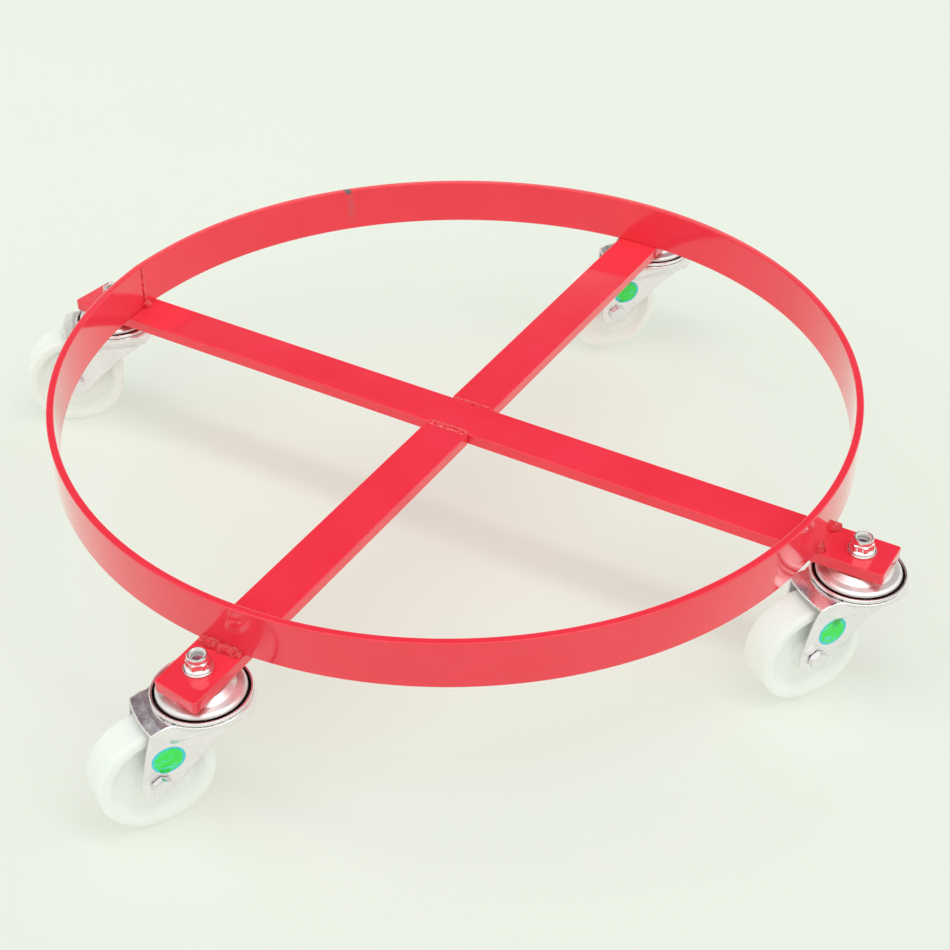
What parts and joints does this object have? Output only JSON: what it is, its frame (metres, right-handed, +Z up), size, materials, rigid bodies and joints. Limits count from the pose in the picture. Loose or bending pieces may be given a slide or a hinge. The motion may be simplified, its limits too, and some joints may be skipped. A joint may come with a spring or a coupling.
{
  "type": "drum dolly",
  "caption": "Round drum dolly: a rolled steel ring standing on a welded cross of flat bar, carried by pressed steel swivel casters with plain nylon wheels.",
  "frame": {"origin": "on the ring's axis, at the top face of the cross bars, where the drum stands", "axes": "+Z up out of the drum seat, +X along the long continuous cross bar towards the front right caster, +Y towards the rear right caster"},
  "size_m": [0.7635, 0.7663, 0.1458],
  "materials": {
    "red_paint": "gloss enamel over welded mild steel",
    "zinc_plate": "bright zinc plated pressed steel",
    "bright_zinc": "bright zinc plated fastener steel",
    "nylon": "natural white nylon, slightly translucent, satin"
  },
  "bodies": {
    "frame": {"ring": "red_paint", "ring_seam_weld": "red_paint", "long_cross_bar": "red_paint", "short_cross_bar_front": "red_paint", "short_cross_bar_rear": "red_paint", "cross_weld_front": "red_paint", "cross_weld_rear": "red_paint", "ring_weld_front_left": "red_paint", "ring_weld_rear_right": "red_paint", "ring_weld_front_right_a": "red_paint", "ring_weld_front_right_b": "red_paint", "ring_weld_rear_left": "red_paint", "mounting_bolt_front_left": "bright_zinc", "washer_front_left": "bright_zinc", "lock_nut_front_left": "bright_zinc", "top_cap_front_left": "zinc_plate", "lower_race_front_left": "zinc_plate", "mounting_bolt_front_right": "bright_zinc", "washer_front_right": "bright_zinc", "lock_nut_front_right": "bright_zinc", "top_cap_front_right": "zinc_plate", "lower_race_front_right": "zinc_plate", "mounting_bolt_rear_left": "bright_zinc", "washer_rear_left": "bright_zinc", "lock_nut_rear_left": "bright_zinc", "top_cap_rear_left": "zinc_plate", "lower_race_rear_left": "zinc_plate", "mounting_bolt_rear_right": "bright_zinc", "washer_rear_right": "bright_zinc", "lock_nut_rear_right": "bright_zinc", "top_cap_rear_right": "zinc_plate", "lower_race_rear_right": "zinc_plate"},
    "swivel_front_left": {"fork_front_left": "zinc_plate", "upper_ball_ring_front_left": "bright_zinc", "lower_ball_ring_front_left": "bright_zinc", "axle_bolt_front_left": "zinc_plate", "axle_nut_front_left": "zinc_plate", "axle_sleeve_front_left": "bright_zinc"},
    "rolling_wheel_front_left": {"wheel_front_left": "nylon"},
    "swivel_front_right": {"fork_front_right": "zinc_plate", "upper_ball_ring_front_right": "bright_zinc", "lower_ball_ring_front_right": "bright_zinc", "axle_bolt_front_right": "zinc_plate", "axle_nut_front_right": "zinc_plate", "axle_sleeve_front_right": "bright_zinc"},
    "rolling_wheel_front_right": {"wheel_front_right": "nylon"},
    "swivel_rear_left": {"fork_rear_left": "zinc_plate", "upper_ball_ring_rear_left": "bright_zinc", "lower_ball_ring_rear_left": "bright_zinc", "axle_bolt_rear_left": "zinc_plate", "axle_nut_rear_left": "zinc_plate", "axle_sleeve_rear_left": "bright_zinc"},
    "rolling_wheel_rear_left": {"wheel_rear_left": "nylon"},
    "swivel_rear_right": {"fork_rear_right": "zinc_plate", "upper_ball_ring_rear_right": "bright_zinc", "lower_ball_ring_rear_right": "bright_zinc", "axle_bolt_rear_right": "zinc_plate", "axle_nut_rear_right": "zinc_plate", "axle_sleeve_rear_right": "bright_zinc"},
    "rolling_wheel_rear_right": {"wheel_rear_right": "nylon"}
  },
  "joints": [
    {"name": "swivel_front_left", "type": "hinge", "parent": "frame", "child": "swivel_front_left", "pos_m": [0.0068, -0.3271, -0.009], "axis": [0, 0, 1], "continuous": true},
    {"name": "wheel_spin_front_left", "type": "hinge", "parent": "swivel_front_left", "child": "rolling_wheel_front_left", "pos_m": [-0.0135, -0.36157, -0.069], "axis": [0.8616, -0.5075, 0], "continuous": true},
    {"name": "swivel_front_right", "type": "hinge", "parent": "frame", "child": "swivel_front_right", "pos_m": [0.3278, -0.0047, -0.009], "axis": [0, 0, 1], "continuous": true},
    {"name": "wheel_spin_front_right", "type": "hinge", "parent": "swivel_front_right", "child": "rolling_wheel_front_right", "pos_m": [0.30543, -0.03786, -0.069], "axis": [0.829, -0.5592, 0], "continuous": true},
    {"name": "swivel_rear_left", "type": "hinge", "parent": "frame", "child": "swivel_rear_left", "pos_m": [-0.3315, -0.0047, -0.009], "axis": [0, 0, 1], "continuous": true},
    {"name": "wheel_spin_rear_left", "type": "hinge", "parent": "swivel_rear_left", "child": "rolling_wheel_rear_left", "pos_m": [-0.36169, -0.03094, -0.069], "axis": [0.6561, -0.7547, 0], "continuous": true},
    {"name": "swivel_rear_right", "type": "hinge", "parent": "frame", "child": "swivel_rear_right", "pos_m": [0.0068, 0.3287, -0.009], "axis": [0, 0, 1], "continuous": true},
    {"name": "wheel_spin_rear_right", "type": "hinge", "parent": "swivel_rear_right", "child": "rolling_wheel_rear_right", "pos_m": [-0.01918, 0.29828, -0.069], "axis": [0.7604, -0.6494, 0], "continuous": true}
  ]
}
